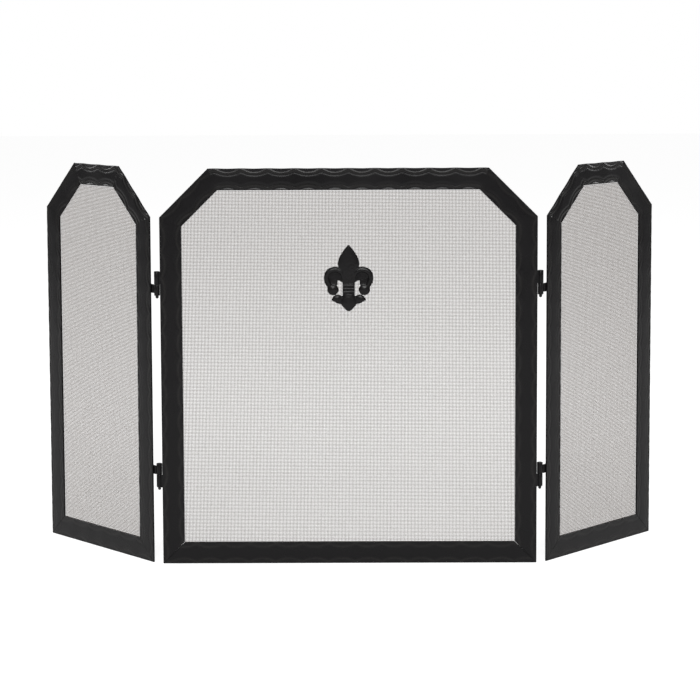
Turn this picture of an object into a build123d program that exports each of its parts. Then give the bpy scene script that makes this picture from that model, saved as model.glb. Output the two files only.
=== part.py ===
"""Three-fold fireplace screen: three wire-mesh panels in welded flat-bar frames.

Millimetres. +X to the right, +Y away from the room towards the fire, +Z up.
The origin is the middle of the centre panel's bottom edge, halfway through
the thickness of its bar. The side panels stand folded back at REST_FOLD.
"""
import os
from math import radians, tan

from build123d import *

# Driving dimensions of the panels
SCREEN_HEIGHT = 620
CENTRE_WIDTH = 584
SIDE_WIDTH = 265
CORNER_CUT = 75.5           # both legs of the cut upper corners, a 45 degree cut
REST_FOLD = 45              # how far each side panel stands folded back, degrees

# Frame bars, mesh and the strips that clamp it, front to back
BAR_WIDTH = 34
BAR_THICKNESS = 3
MESH_INSET = 12             # from the frame's outer edge to the mesh's edge
MESH_THICKNESS = 1.4        # two crossing wires of 0.7
STRIP_INSET = 14
STRIP_WIDTH = 14
STRIP_THICKNESS = 1.5
STRIP_END_GAP = 0.4         # each end of a strip stops this short of the mitre

# Rivets through strip and mesh into the back of the bars
RIVET_RADIUS = 1.5
RIVET_DEPTH = 2.0           # how far a rivet reaches into a bar
RIVET_HEAD_RADIUS = 2.8
RIVET_HEAD_HEIGHT = 0.9
RIVET_SPACING = 110         # the most between two rivets of one strip
RIVET_END = 18              # from a strip's end to its first rivet

# Pin hinges
BARREL_RADIUS = 4.5
PIN_RADIUS = 2.5
EYE_CLEARANCE = 0.05        # radial, between the pin and the side panel's eye
LEAF_THICKNESS = 2.5
LEAF_LAP = 10               # how far a leaf laps the back of its stile
CENTRE_OFFSET = 5.2         # from the centre frame's edge to the pin's axis
SIDE_OFFSET = 8.05          # from the pin's axis to the side frame's edge, unfolded
UPPER_HINGE_HEIGHT = 440    # where the two halves of the upper hinge meet
LOWER_HINGE_HEIGHT = 140.6
HINGE_PLAY = 0.3            # gap between the two halves of a hinge
BARREL_LENGTH = 20
EYE_LENGTH = 17.5
ARM_LENGTH = 13.5           # height of the arm between an eye and its stile
PIN_TIP = 4.8               # how far a pin shows below its hinge

# Ornament
ORNAMENT_HEIGHT = 449.5     # centre of the ornament above the floor
ORNAMENT_THICKNESS = 5
ORNAMENT_TIP = 51.3         # heights and places from here on are from its centre
ORNAMENT_FOOT = -51.5
RIB_RADIUS = 2.2
RIB_LENGTH = 21
RIB_PITCH = 5
BAND_HEIGHT = -16.5         # the middle one of the three ribs
BALL_RADIUS = 7.8
BALL_PLACE = (24.8, -18.9)
BALL_SINK = 0.75            # how deep a ball's centre lies below the face, in radii
STUD_RADIUS = 1.5
STUD_SPACING = 44
STUD_LENGTH = 6
CUTTER_REACH = 5            # how far the cutter of a hole reaches past the piece
BACK_PLATE = (16, 60, 1.5)  # width, height, thickness
NUT_RADIUS = 3.2            # across corners of the hexagon, halved
NUT_HEIGHT = 2.2

# Worked out from the driving dimensions
BAR_BACK = BAR_THICKNESS / 2
MESH_BACK = BAR_BACK + MESH_THICKNESS
STRIP_BACK = MESH_BACK + STRIP_THICKNESS
AXIS_Y = BAR_BACK + BARREL_RADIUS
AXIS_X = CENTRE_WIDTH / 2 + CENTRE_OFFSET
SIDE_MIDDLE = AXIS_X + SIDE_OFFSET + SIDE_WIDTH / 2
CUT_STEP = tan(radians(22.5))   # how a 45 degree corner moves as it is inset

CENTRE_SIDES = ("bottom_rail", "right_stile", "right_corner_bar",
                "top_rail", "left_corner_bar", "left_stile")
WING_SIDES = ("bottom_rail", "outer_stile", "outer_corner_bar",
              "top_rail", "hinge_corner_bar", "hinge_stile")

os.makedirs("parts", exist_ok=True)


def outline(width, inset):
    """Six corners of a panel's outline, moved in from its edge by inset."""
    half = width / 2 - inset
    shoulder = SCREEN_HEIGHT - CORNER_CUT - CUT_STEP * inset
    top = SCREEN_HEIGHT - inset
    top_half = width / 2 - CORNER_CUT - CUT_STEP * inset
    return [(-half, inset), (half, inset), (half, shoulder),
            (top_half, top), (-top_half, top), (-half, shoulder)]


def upright_plate(corners, front, back):
    """Plate with the given corners (x, z) and its faces at y = front and back."""
    face = make_face(Polyline(*corners, close=True))
    plate = extrude(Plane.XZ * face, -(back - front))
    return Pos(0, front, 0) * plate


def ring_piece(width, side, inset, depth, front, back, end_gap=0.0):
    """One straight piece of a frame of six, mitred where it meets its neighbours."""
    outer, inner = outline(width, inset), outline(width, inset + depth)
    following = (side + 1) % 6
    start, end = Vector(*outer[side]), Vector(*outer[following])
    trim = (end - start).normalized() * end_gap
    corners = [start + trim, end - trim,
               Vector(*inner[following]) - trim, Vector(*inner[side]) + trim]
    return upright_plate([(c.X, c.Y) for c in corners], front, back)


def rivet_places(width, side):
    """Where the rivets of one strip sit, evenly spaced along its middle line."""
    middle = outline(width, STRIP_INSET + STRIP_WIDTH / 2)
    start, end = Vector(*middle[side]), Vector(*middle[(side + 1) % 6])
    run = (end - start).length - 2 * RIVET_END
    gaps = max(1, round(run / RIVET_SPACING))
    along = (end - start).normalized()
    return [start + along * (RIVET_END + run * step / gaps) for step in range(gaps + 1)]


def rod(place, radius, front, back):
    """Round rod along Y between y = front and y = back, at (x, z) = place."""
    return Pos(place.X, (front + back) / 2, place.Y) * Rot(90, 0, 0) * Cylinder(radius, back - front)


def rivet(place):
    """Rivet with a low domed head on the strip's back face."""
    shank = rod(place, RIVET_RADIUS, BAR_BACK - RIVET_DEPTH, STRIP_BACK)
    head = rod(place, RIVET_HEAD_RADIUS, STRIP_BACK, STRIP_BACK + RIVET_HEAD_HEIGHT)
    crown = head.edges().filter_by(GeomType.CIRCLE).sort_by(Axis.Y)[-1]
    return shank + fillet(crown, RIVET_HEAD_HEIGHT * 0.7)


def drill(piece, places):
    """The piece with a rivet hole at each place."""
    for place in places:
        piece = piece - rod(place, RIVET_RADIUS, BAR_BACK - RIVET_DEPTH, STRIP_BACK + CUTTER_REACH)
    return piece


def panel(width, side_names):
    """Frame bars, mesh, clamp strips and rivets of one panel, by plain name."""
    pieces, places = {}, []
    for side, name in enumerate(side_names):
        side_places = rivet_places(width, side)
        bar = ring_piece(width, side, 0, BAR_WIDTH, -BAR_BACK, BAR_BACK)
        strip = ring_piece(width, side, STRIP_INSET, STRIP_WIDTH, MESH_BACK, STRIP_BACK, STRIP_END_GAP)
        pieces[name] = drill(bar, side_places)
        pieces[name.replace("_bar", "") + "_clamp_strip"] = drill(strip, side_places)
        places += side_places
    mesh = upright_plate(outline(width, MESH_INSET), BAR_BACK, MESH_BACK)
    pieces["wire_mesh"] = drill(mesh, places)
    pieces["rivets"] = Compound([rivet(place) for place in places])
    return pieces


def knuckle(bottom, length, bore):
    """Round barrel on the pin's axis with the given bore."""
    place = Pos(AXIS_X, AXIS_Y, bottom + length / 2)
    return place * Cylinder(BARREL_RADIUS, length), place * Cylinder(bore, length)


def leaf(x_from, x_to, bottom, height):
    """Flat leaf against the back of a stile, in line with the barrel's front."""
    size = (x_to - x_from, LEAF_THICKNESS, height)
    return Pos((x_from + x_to) / 2, BAR_BACK + LEAF_THICKNESS / 2, bottom + height / 2) * Box(*size)


def hinge_barrel(bottom):
    """The centre panel's half of a hinge; the pin is pressed into it."""
    barrel, bore = knuckle(bottom, BARREL_LENGTH, PIN_RADIUS)
    return barrel + leaf(CENTRE_WIDTH / 2 - LEAF_LAP, AXIS_X, bottom, BARREL_LENGTH) - bore


def hinge_eye(bottom, arm_bottom):
    """A side panel's half of a hinge: an eye round the pin and its arm."""
    barrel, bore = knuckle(bottom, EYE_LENGTH, PIN_RADIUS + EYE_CLEARANCE)
    arm = leaf(AXIS_X, AXIS_X + SIDE_OFFSET + LEAF_LAP, arm_bottom, ARM_LENGTH)
    return barrel + arm - bore


def hinge_pin(bottom, top):
    """Pin with a rounded lower tip."""
    pin = Pos(AXIS_X, AXIS_Y, (bottom + top) / 2) * Cylinder(PIN_RADIUS, top - bottom)
    tip = pin.edges().filter_by(GeomType.CIRCLE).sort_by(Axis.Z)[0]
    return fillet(tip, PIN_RADIUS * 0.6)


def ornament_outline():
    """Right half of the fleur-de-lis, from its tip down to its foot, as one face."""
    petal = ThreePointArc((0, ORNAMENT_TIP), (9.3, 38.2), (16.5, 24))
    petal += ThreePointArc((16.5, 24), (16.6, 20.5), (15.2, 17.3))
    curl = ThreePointArc((15.2, 17.3), (30.5, 13.2), (37.8, 2.5))
    curl += ThreePointArc((37.8, 2.5), (36.9, -4.5), (32, -9.8))
    ball = Line((32, -9.8), (31, -14.2))
    ball += ThreePointArc((31, -14.2), (24.8, -26.7), (18, -15.1))
    slot = Line((18, -15.1), (17.9, -6.8))
    slot += ThreePointArc((17.9, -6.8), (13.9, -3.4), (9.9, -6.8))
    stem = Polyline((9.9, -6.8), (10.8, -11), (10.8, -26.4), (17.4, -26))
    leaflet = ThreePointArc((17.4, -26), (21.4, -30.4), (26.8, -34))
    leaflet += ThreePointArc((26.8, -34), (20.4, -39), (13, -41.5))
    foot = ThreePointArc((13, -41.5), (8.6, -45.5), (4, -50.2))
    foot += ThreePointArc((4, -50.2), (2.1, -51.2), (0, ORNAMENT_FOOT))
    middle = Line((0, ORNAMENT_FOOT), (0, ORNAMENT_TIP))
    return make_face(petal + curl + ball + slot + stem + leaflet + foot + middle)


def ball_dome(side):
    """The part of a curl's ball that stands proud of the ornament's face."""
    across, up = BALL_PLACE
    centre = Pos(side * across, -ORNAMENT_THICKNESS + BALL_RADIUS * BALL_SINK, up)
    proud = Pos(side * across, -ORNAMENT_THICKNESS - BALL_RADIUS, up) * Box(*[2 * BALL_RADIUS] * 3)
    return centre * Sphere(BALL_RADIUS) & proud


def ornament():
    """Cast fleur-de-lis with a ribbed band, domed curls and two studs behind."""
    half = extrude(Plane.XZ * ornament_outline(), ORNAMENT_THICKNESS)
    body = half + mirror(half, about=Plane.YZ)
    for step in (-1, 0, 1):
        place = Pos(0, -ORNAMENT_THICKNESS, BAND_HEIGHT + step * RIB_PITCH)
        body += place * Rot(0, 90, 0) * Cylinder(RIB_RADIUS, RIB_LENGTH)
    for side in (-1, 1):
        body += ball_dome(side)
        body += rod(Vector(0, side * STUD_SPACING / 2), STUD_RADIUS, 0, STUD_LENGTH)
    return Pos(0, BAR_BACK, ORNAMENT_HEIGHT) * body


def stud_places():
    """Where the ornament's two studs pass through the mesh."""
    return [Vector(0, ORNAMENT_HEIGHT + step * STUD_SPACING / 2) for step in (-1, 1)]


def stud_holes(piece):
    """The piece with a hole for each of the ornament's studs."""
    for place in stud_places():
        piece = piece - rod(place, STUD_RADIUS, BAR_BACK, BAR_BACK + STUD_LENGTH + CUTTER_REACH)
    return piece


def back_plate():
    """Plate behind the mesh that spreads the load of the ornament's studs."""
    width, height, thickness = BACK_PLATE
    plate = Pos(0, MESH_BACK + thickness / 2, ORNAMENT_HEIGHT) * Box(width, thickness, height)
    return stud_holes(plate)


def ornament_nuts():
    """Two hexagon nuts on the studs."""
    back = MESH_BACK + BACK_PLATE[2]
    hexagon = extrude(Plane.XZ * RegularPolygon(NUT_RADIUS, 6), -NUT_HEIGHT)
    nuts = [Pos(place.X, back, place.Y) * hexagon for place in stud_places()]
    return Compound([stud_holes(nut) for nut in nuts])


def hinge_halves():
    """The hinge pieces of the right-hand side, by plain name, unfolded."""
    play = HINGE_PLAY / 2
    upper, lower = UPPER_HINGE_HEIGHT, LOWER_HINGE_HEIGHT
    return {
        "upper_hinge_barrel": hinge_barrel(upper + play),
        "upper_hinge_eye": hinge_eye(upper - play - EYE_LENGTH, upper - play - ARM_LENGTH),
        "upper_hinge_pin": hinge_pin(upper - play - EYE_LENGTH - PIN_TIP, upper + play + BARREL_LENGTH),
        "lower_hinge_barrel": hinge_barrel(lower - play - BARREL_LENGTH),
        "lower_hinge_eye": hinge_eye(lower + play, lower + play),
        "lower_hinge_pin": hinge_pin(lower - play - BARREL_LENGTH - PIN_TIP, lower + play + EYE_LENGTH),
    }


def folded(piece):
    """The piece of the right-hand wing, turned back about the pin's axis."""
    return Pos(AXIS_X, AXIS_Y, 0) * Rot(0, 0, REST_FOLD) * Pos(-AXIS_X, -AXIS_Y, 0) * piece


def save(name, piece):
    """Write one named piece to its own file."""
    export_step(piece, f"parts/{name}.step")


def build():
    """Make every piece of the screen and write it."""
    centre = panel(CENTRE_WIDTH, CENTRE_SIDES)
    centre["wire_mesh"] = stud_holes(centre["wire_mesh"])
    for name, piece in centre.items():
        save(f"centre_{name}", piece)
    save("ornament", ornament())
    save("ornament_back_plate", back_plate())
    save("ornament_nuts", ornament_nuts())

    right = {name: folded(Pos(SIDE_MIDDLE, 0, 0) * piece)
             for name, piece in panel(SIDE_WIDTH, WING_SIDES).items()}
    for name, piece in hinge_halves().items():
        right[name] = folded(piece) if name.endswith("eye") else piece
    for name, piece in right.items():
        save(f"right_{name}", piece)
        save(f"left_{name}", mirror(piece, about=Plane.YZ))


build()
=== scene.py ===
"""Looks of the three-fold fireplace screen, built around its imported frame.

Metres, in the row frame: +X right, +Y towards the fire, +Z up. Sizes that the
frame holds are read from it; sizes of surface detail are fields of the classes.
"""

import logging
import math
from dataclasses import dataclass, field
from enum import Enum

import bpy
import numpy as np
from mathutils import Matrix, Vector


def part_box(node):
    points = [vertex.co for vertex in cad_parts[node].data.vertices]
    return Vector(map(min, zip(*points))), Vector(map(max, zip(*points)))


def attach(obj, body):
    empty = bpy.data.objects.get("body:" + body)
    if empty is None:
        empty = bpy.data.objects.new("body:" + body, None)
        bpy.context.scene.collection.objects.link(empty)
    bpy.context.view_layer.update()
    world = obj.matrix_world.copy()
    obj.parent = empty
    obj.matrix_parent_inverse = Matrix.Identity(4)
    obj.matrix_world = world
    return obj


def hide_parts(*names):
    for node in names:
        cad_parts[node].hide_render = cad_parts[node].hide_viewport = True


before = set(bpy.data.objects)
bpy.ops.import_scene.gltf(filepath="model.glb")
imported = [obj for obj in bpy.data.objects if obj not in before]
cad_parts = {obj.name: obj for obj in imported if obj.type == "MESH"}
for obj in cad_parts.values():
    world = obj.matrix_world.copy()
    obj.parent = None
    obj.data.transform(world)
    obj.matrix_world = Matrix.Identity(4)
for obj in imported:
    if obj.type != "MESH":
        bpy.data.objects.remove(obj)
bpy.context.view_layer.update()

MM = 0.001
UP = np.array([0.0, 0.0, 1.0])
FIREWARD = np.array([0.0, 1.0, 0.0])
LOG = logging.getLogger("fireplace_screen")


# ---------------------------------------------------------------- small tools


def linear(hex_code: str) -> tuple[float, float, float, float]:
    """Linear colour of an sRGB hex value.

    Args:
        hex_code: six hex digits with a leading hash.

    Returns:
        Red, green, blue and an alpha of one.
    """
    srgb = [int(hex_code[start:start + 2], 16) / 255 for start in (1, 3, 5)]
    out = [c / 12.92 if c <= 0.04045 else ((c + 0.055) / 1.055) ** 2.4 for c in srgb]
    return (*out, 1.0)


def add_node(tree: bpy.types.NodeTree, kind: str, settings: dict | None = None,
             links: dict | None = None) -> bpy.types.Node:
    """Add a node with its settings and its incoming links.

    Args:
        tree: the node tree.
        kind: Blender's name of the node type.
        settings: attribute name, or input name or number, to its value.
        links: input name or number to the output socket that feeds it.

    Returns:
        The new node.
    """
    node = tree.nodes.new(kind)
    for name, value in (settings or {}).items():
        if isinstance(name, int) or name in node.inputs.keys():
            node.inputs[name].default_value = value
        else:
            setattr(node, name, value)
    for name, source in (links or {}).items():
        tree.links.new(source, node.inputs[name])
    return node


def waves(points: np.ndarray, wavelength: float, seed: int, count: int = 9) -> np.ndarray:
    """Smooth irregular height: the scaled sum of sines that run in random directions.

    Args:
        points: array of shape (..., n) of places, in metres.
        wavelength: typical distance between two crests, in metres.
        seed: seed of the random directions and phases.
        count: how many sines are added.

    Returns:
        Values of about -1 to 1, of shape (...).
    """
    random = np.random.default_rng(seed)
    directions = random.normal(size=(points.shape[-1], count))
    directions *= random.uniform(0.6, 1.5, count) / np.linalg.norm(directions, axis=0)
    phases = random.uniform(0, 2 * np.pi, count)
    angles = points @ directions * (2 * np.pi / wavelength) + phases
    return np.sin(angles).sum(axis=-1) / math.sqrt(count)


def bell(distance: np.ndarray, width: float) -> np.ndarray:
    """Bell curve of height one: e to the minus half of the squared distance over the width."""
    return np.exp(-0.5 * (distance / width) ** 2)


def tube_faces(rings: int, around: int) -> np.ndarray:
    """Quads between rings of points that are numbered ring by ring.

    Args:
        rings: how many rings.
        around: how many points in a ring.

    Returns:
        Corner numbers, one row of four for each quad.
    """
    ring, place = np.meshgrid(np.arange(rings - 1), np.arange(around), indexing="ij")
    following = (place + 1) % around
    corners = [ring * around + place, ring * around + following,
               (ring + 1) * around + following, (ring + 1) * around + place]
    return np.stack(corners, axis=-1).reshape(-1, 4)


@dataclass
class Shell:
    """A closed surface: points, quads and the polygons that close its ends."""

    points: np.ndarray
    quads: np.ndarray
    caps: list[np.ndarray] = field(default_factory=list)
    wear: np.ndarray | None = None

    def volume(self) -> float:
        """Signed volume inside the faces, positive when they point outwards."""
        total = 0.0
        for second, third in ((1, 2), (2, 3)):
            a, b, c = (self.points[self.quads[:, k]] for k in (0, second, third))
            total += np.einsum("ij,ij->", a, np.cross(b, c))
        for cap in self.caps:
            ring = self.points[cap]
            total += (np.cross(ring[1:-1], ring[2:]) @ ring[0]).sum()
        return total / 6

    def outward(self) -> "Shell":
        """The same surface with every face turned to point outwards."""
        if self.volume() < 0:
            self.quads = self.quads[:, ::-1]
            self.caps = [cap[::-1] for cap in self.caps]
        return self


def ring_shell(rings: np.ndarray, wear: np.ndarray | None = None) -> Shell:
    """Closed surface through rings of points, each end capped by one polygon.

    Args:
        rings: array of shape (rings, points in a ring, 3).
        wear: how rubbed the paint is at each point, of shape (rings, points in a ring).

    Returns:
        The shell, facing outwards.
    """
    count, around = rings.shape[:2]
    quads = tube_faces(count, around)
    caps = [np.arange(around)[::-1], (count - 1) * around + np.arange(around)]
    flat = None if wear is None else wear.reshape(-1)
    return Shell(rings.reshape(-1, 3), quads, caps, flat).outward()


def mesh_object(name: str, shells: list[Shell], sharp_angle: float = 40.0) -> bpy.types.Object:
    """One Blender object from closed surfaces.

    Args:
        name: name of the object and of its mesh.
        shells: the surfaces.
        sharp_angle: edges that turn by more than this many degrees stay sharp.

    Returns:
        The object, linked to the scene.
    """
    starts = np.cumsum([0] + [len(shell.points) for shell in shells])[:-1]
    points = np.concatenate([shell.points for shell in shells])
    quads = np.concatenate([shell.quads + start for shell, start in zip(shells, starts)])
    caps = [cap + start for shell, start in zip(shells, starts) for cap in shell.caps]
    corners = np.concatenate([quads.reshape(-1), *caps])
    sizes = np.array([4] * len(quads) + [len(cap) for cap in caps])
    mesh = bpy.data.meshes.new(name)
    mesh.vertices.add(len(points))
    mesh.vertices.foreach_set("co", points.astype(np.float32).ravel())
    mesh.loops.add(len(corners))
    mesh.loops.foreach_set("vertex_index", corners.astype(np.int32))
    mesh.polygons.add(len(sizes))
    mesh.polygons.foreach_set("loop_start", (np.cumsum(sizes) - sizes).astype(np.int32))
    mesh.update(calc_edges=True)
    mesh.validate()
    mesh.shade_smooth()
    mesh.set_sharp_from_angle(angle=math.radians(sharp_angle))
    if all(shell.wear is not None for shell in shells):
        values = np.concatenate([shell.wear for shell in shells]).astype(np.float32)
        mesh.attributes.new("wear", "FLOAT", "POINT").data.foreach_set("value", values)
    piece = bpy.data.objects.new(name, mesh)
    bpy.context.scene.collection.objects.link(piece)
    return piece


def place_piece(piece: bpy.types.Object, finish: "Finish", body: str, *nodes: str) -> bpy.types.Object:
    """Dress a piece, let it ride on its body and let it stand for its CAD nodes.

    Args:
        piece: the finished object.
        finish: the finish that it takes.
        body: name of the CAD body that it moves with.
        nodes: the CAD nodes that it replaces.

    Returns:
        The piece.
    """
    piece.data.materials.append(finish.material())
    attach(piece, body)
    if nodes:
        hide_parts(*nodes)
    LOG.info("%s: %d faces on %s", piece.name, len(piece.data.polygons), body)
    return piece


# -------------------------------------------------------------------- finishes


class Finish:
    """A finish that makes its material once and hands out the same one after that."""

    name: str
    slot: str

    def material(self) -> bpy.types.Material:
        """The material of this finish."""
        known = bpy.data.materials.get(self.name)
        if known is not None:
            return known
        made = bpy.data.materials.new(self.name)
        made.use_nodes = True
        made.node_tree.nodes.clear()
        self.wire(made.node_tree)
        return made

    def wire(self, tree: bpy.types.NodeTree) -> None:
        """Fill the material's node tree."""
        raise NotImplementedError


@dataclass(frozen=True)
class BlackPaint(Finish):
    """Heat-proof satin black spray paint on steel or iron.

    It gives a near-black body colour under a soft wide sheen, a fine orange
    peel, slow blotches of sheen where the coat is thicker, and ridges rubbed a
    little greyer and smoother. Sizes are those of the sprayed drops (peel), the
    rolled or cast skin under the coat (grain) and the passes of the can (blotch).
    """

    name: str
    slot: str
    coat: str = "#0a090a"
    rubbed: str = "#1c1b1a"
    roughness: float = 0.28
    ior: float = 1.40
    specular: float = 0.20
    peel_mm: float = 1.1
    peel_height_mm: float = 0.012
    blotch_mm: float = 70.0
    grain_mm: float = 3.0
    grain_height_mm: float = 0.035
    glossier: float = 0.05
    duller: float = 0.06
    polish: float = 0.12

    def wire(self, tree: bpy.types.NodeTree) -> None:
        """Fill the material's node tree."""
        place = add_node(tree, "ShaderNodeTexCoord").outputs["Object"]
        blotch, peel, grain = (
            add_node(tree, "ShaderNodeTexNoise", {"Scale": 1 / (size * MM), "Detail": detail},
                     {"Vector": place})
            for size, detail in ((self.blotch_mm, 3.0), (self.peel_mm, 2.0), (self.grain_mm, 4.0)))
        wear = add_node(tree, "ShaderNodeAttribute", {"attribute_name": "wear"})
        rubbed = add_node(tree, "ShaderNodeMath", {"operation": "MULTIPLY"},
                          {0: wear.outputs["Fac"], 1: grain.outputs["Fac"]})
        colour = add_node(tree, "ShaderNodeMix",
                          {"data_type": "RGBA", 6: linear(self.coat), 7: linear(self.rubbed)},
                          {0: rubbed.outputs[0]})
        sheen = add_node(tree, "ShaderNodeMapRange",
                         {"From Min": 0.3, "From Max": 0.7, "To Min": self.roughness - self.glossier,
                          "To Max": self.roughness + self.duller}, {"Value": blotch.outputs["Fac"]})
        rough = add_node(tree, "ShaderNodeMath", {"operation": "MULTIPLY_ADD", 1: -self.polish},
                         {0: rubbed.outputs[0], 2: sheen.outputs[0]})
        deep = add_node(tree, "ShaderNodeBump", {"Distance": self.grain_height_mm * MM},
                        {"Height": grain.outputs["Fac"]})
        fine = add_node(tree, "ShaderNodeBump", {"Distance": self.peel_height_mm * MM},
                        {"Height": peel.outputs["Fac"], "Normal": deep.outputs["Normal"]})
        shader = add_node(tree, "ShaderNodeBsdfPrincipled",
                          {"IOR": self.ior, "Specular IOR Level": self.specular},
                          {"Base Color": colour.outputs[2], "Roughness": rough.outputs[0],
                           "Normal": fine.outputs["Normal"]})
        add_node(tree, "ShaderNodeOutputMaterial", links={"Surface": shader.outputs["BSDF"]})


@dataclass(frozen=True)
class LitAcrylic(Finish):
    """Pale matt acrylic of a studio table that is lit from below, so shadows hardly show on it."""

    name: str = "pale_lit_acrylic"
    coat: str = "#999999"
    glow: float = 0.745
    roughness: float = 0.9
    specular: float = 0.1

    def wire(self, tree: bpy.types.NodeTree) -> None:
        """Fill the material's node tree."""
        shader = add_node(tree, "ShaderNodeBsdfPrincipled",
                          {"Base Color": linear(self.coat), "Roughness": self.roughness,
                           "Specular IOR Level": self.specular, "Emission Color": (1, 1, 1, 1),
                           "Emission Strength": self.glow})
        add_node(tree, "ShaderNodeOutputMaterial", links={"Surface": shader.outputs["BSDF"]})


# Hammered flat steel: a soft sheen that breaks into bright arcs on the pressed grooves.
FRAME_PAINT = BlackPaint("satin_black_hammered_steel", "frame_bar")
# Cold-rolled strip: an even, duller black.
STRIP_PAINT = BlackPaint("satin_black_flat_steel", "clamp_strip", roughness=0.36, grain_height_mm=0.02)
# Lacquered steel wire: thin and dull, so the cloth is a warm grey veil against a light ground.
WIRE_PAINT = BlackPaint("dark_lacquered_wire", "wire_mesh", coat="#4f433a", rubbed="#5e5146",
                        roughness=0.45, peel_height_mm=0.004, grain_height_mm=0.01)
# Headed rivet steel: smooth domes with a small round glint.
RIVET_PAINT = BlackPaint("black_rivet_steel", "rivet", roughness=0.30, grain_height_mm=0.01)
# Sand-cast iron: a grainy skin that breaks the sheen up.
CASTING_PAINT = BlackPaint("black_painted_cast_iron", "ornament", roughness=0.30,
                           grain_mm=1.6, grain_height_mm=0.06)
# Turned and sawn steel: a plain satin black.
HINGE_PAINT = BlackPaint("satin_black_hinge_steel", "hinge", roughness=0.32)
# Drawn rod: smoother and a shade paler, because the turning panel rubs it.
PIN_STEEL = BlackPaint("black_pin_steel", "hinge_pin", coat="#141415", roughness=0.26,
                       grain_height_mm=0.01)


# ------------------------------------------------------------- panels in space


@dataclass(frozen=True)
class PanelPlace:
    """Where a panel stands: the middle of its bottom edge and its two level directions."""

    origin: np.ndarray
    along: np.ndarray
    back: np.ndarray
    width: float

    @classmethod
    def measure(cls, rail: bpy.types.Object) -> "PanelPlace":
        """Read the place from the lowest points of a panel's bottom rail.

        The long direction is the main axis of those points, and the origin is
        the middle between their extremes.

        Args:
            rail: the CAD node of the bottom rail.

        Returns:
            The place, with along towards +X and back towards +Y.
        """
        points = np.array([vertex.co for vertex in rail.data.vertices])
        foot = points[points[:, 2] < points[:, 2].min() + 0.01 * MM][:, :2]
        foot = np.unique(foot.round(7), axis=0)
        middle = (foot.max(axis=0) + foot.min(axis=0)) / 2
        along = np.linalg.svd(foot - foot.mean(axis=0))[2][0]
        along = along * np.sign(along[0])
        back = np.array([-along[1], along[0]])
        reach = (foot - middle) @ along
        return cls(np.array([*middle, 0.0]), np.array([*along, 0.0]), np.array([*back, 0.0]),
                   float(reach.max() - reach.min()))

    def world(self, across: np.ndarray, behind: np.ndarray, height: np.ndarray) -> np.ndarray:
        """Points of the row frame from a panel's own three coordinates."""
        across, behind, height = np.broadcast_arrays(across, behind, height)
        return (self.origin + across[..., None] * self.along
                + behind[..., None] * self.back + height[..., None] * UP)

    def point(self, across: float, behind: float, height: float) -> np.ndarray:
        """One point of the row frame from a panel's own three coordinates."""
        return self.world(*np.array([across, behind, height]))


ROW_PLACE = PanelPlace(np.zeros(3), np.array([1.0, 0.0, 0.0]), FIREWARD, 0.0)


def rectangle(left: float, right: float, low: float, high: float) -> np.ndarray:
    """Corners of an upright rectangle, from the lower left one round against the clock."""
    return np.array([(left, low), (right, low), (right, high), (left, high)])


@dataclass(frozen=True)
class FrameOutline:
    """The six-cornered outline that all frames share, but for their width."""

    height: float
    corner_cut: float
    bar_width: float
    bar_thickness: float

    @classmethod
    def measure(cls) -> "FrameOutline":
        """Read the outline's sizes from the centre panel's bars."""
        rail_low, rail_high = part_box("centre_bottom_rail")
        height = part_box("centre_top_rail")[1].z
        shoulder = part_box("centre_left_stile")[1].z
        return cls(height, height - shoulder, rail_high.z - rail_low.z, rail_high.y - rail_low.y)

    def corners(self, width: float, inset: float) -> np.ndarray:
        """Corners moved in by inset, from the lower left one round to the left shoulder.

        At each 45 degree turn a corner slides along by inset times the tangent of
        half of that turn.
        """
        step = math.tan(math.radians(45 / 2)) * inset
        half, top = width / 2 - inset, self.height - inset
        shoulder = self.height - self.corner_cut - step
        top_half = width / 2 - self.corner_cut - step
        return np.array([(-half, inset), (half, inset), (half, shoulder),
                         (top_half, top), (-top_half, top), (-half, shoulder)])

    def wire_reach(self, places: np.ndarray, width: float, inset: float,
                   upright: bool) -> tuple[np.ndarray, np.ndarray]:
        """How far a straight wire runs inside the outline moved in by inset.

        Args:
            places: where each wire stands, across the panel or up it.
            width: the panel's width.
            inset: how far the wires stay inside the outer edge.
            upright: whether the wires stand or lie.

        Returns:
            Lowest and highest end of each wire.
        """
        corners = self.corners(width, inset)
        if upright:
            over = np.abs(places) - corners[3, 0]
            top = corners[3, 1] - np.clip(over, 0, None)
            return np.full_like(places, inset), top
        over = places - corners[2, 1]
        half = corners[2, 0] - np.clip(over, 0, None)
        return -half, half


# ------------------------------------------------------------------ frame bars


class Side(Enum):
    """The six pieces of a frame, from the bottom one round against the clock."""

    BOTTOM = 0
    RIGHT = 1
    RIGHT_CORNER = 2
    TOP = 3
    LEFT_CORNER = 4
    LEFT = 5


class Level(Enum):
    """The two heights at which a wing is hinged."""

    UPPER = "upper"
    LOWER = "lower"


class Fold(Enum):
    """The three folds of the screen."""

    LEFT = "left"
    CENTRE = "centre"
    RIGHT = "right"

    @property
    def body(self) -> str:
        """The CAD body of this fold."""
        return f"{self.value}_panel"

    def side_name(self, side: Side) -> str:
        """What a side is called on this fold: by hand on the centre one, by hinge on a wing."""
        hand = "right" if side in (Side.RIGHT, Side.RIGHT_CORNER) else "left"
        if self is not Fold.CENTRE:
            hand = "outer" if hand == self.value else "hinge"
        if side in (Side.BOTTOM, Side.TOP):
            return f"{self.value}_{side.name.lower()}_rail"
        piece = "stile" if side in (Side.RIGHT, Side.LEFT) else "corner"
        return f"{self.value}_{hand}_{piece}"

    def bar_node(self, side: Side) -> str:
        """The CAD node of a side's bar."""
        name = self.side_name(side)
        return f"{name}_bar" if name.endswith("corner") else name

    def strip_node(self, side: Side) -> str:
        """The CAD node of a side's clamp strip."""
        return f"{self.side_name(side)}_clamp_strip"


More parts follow.
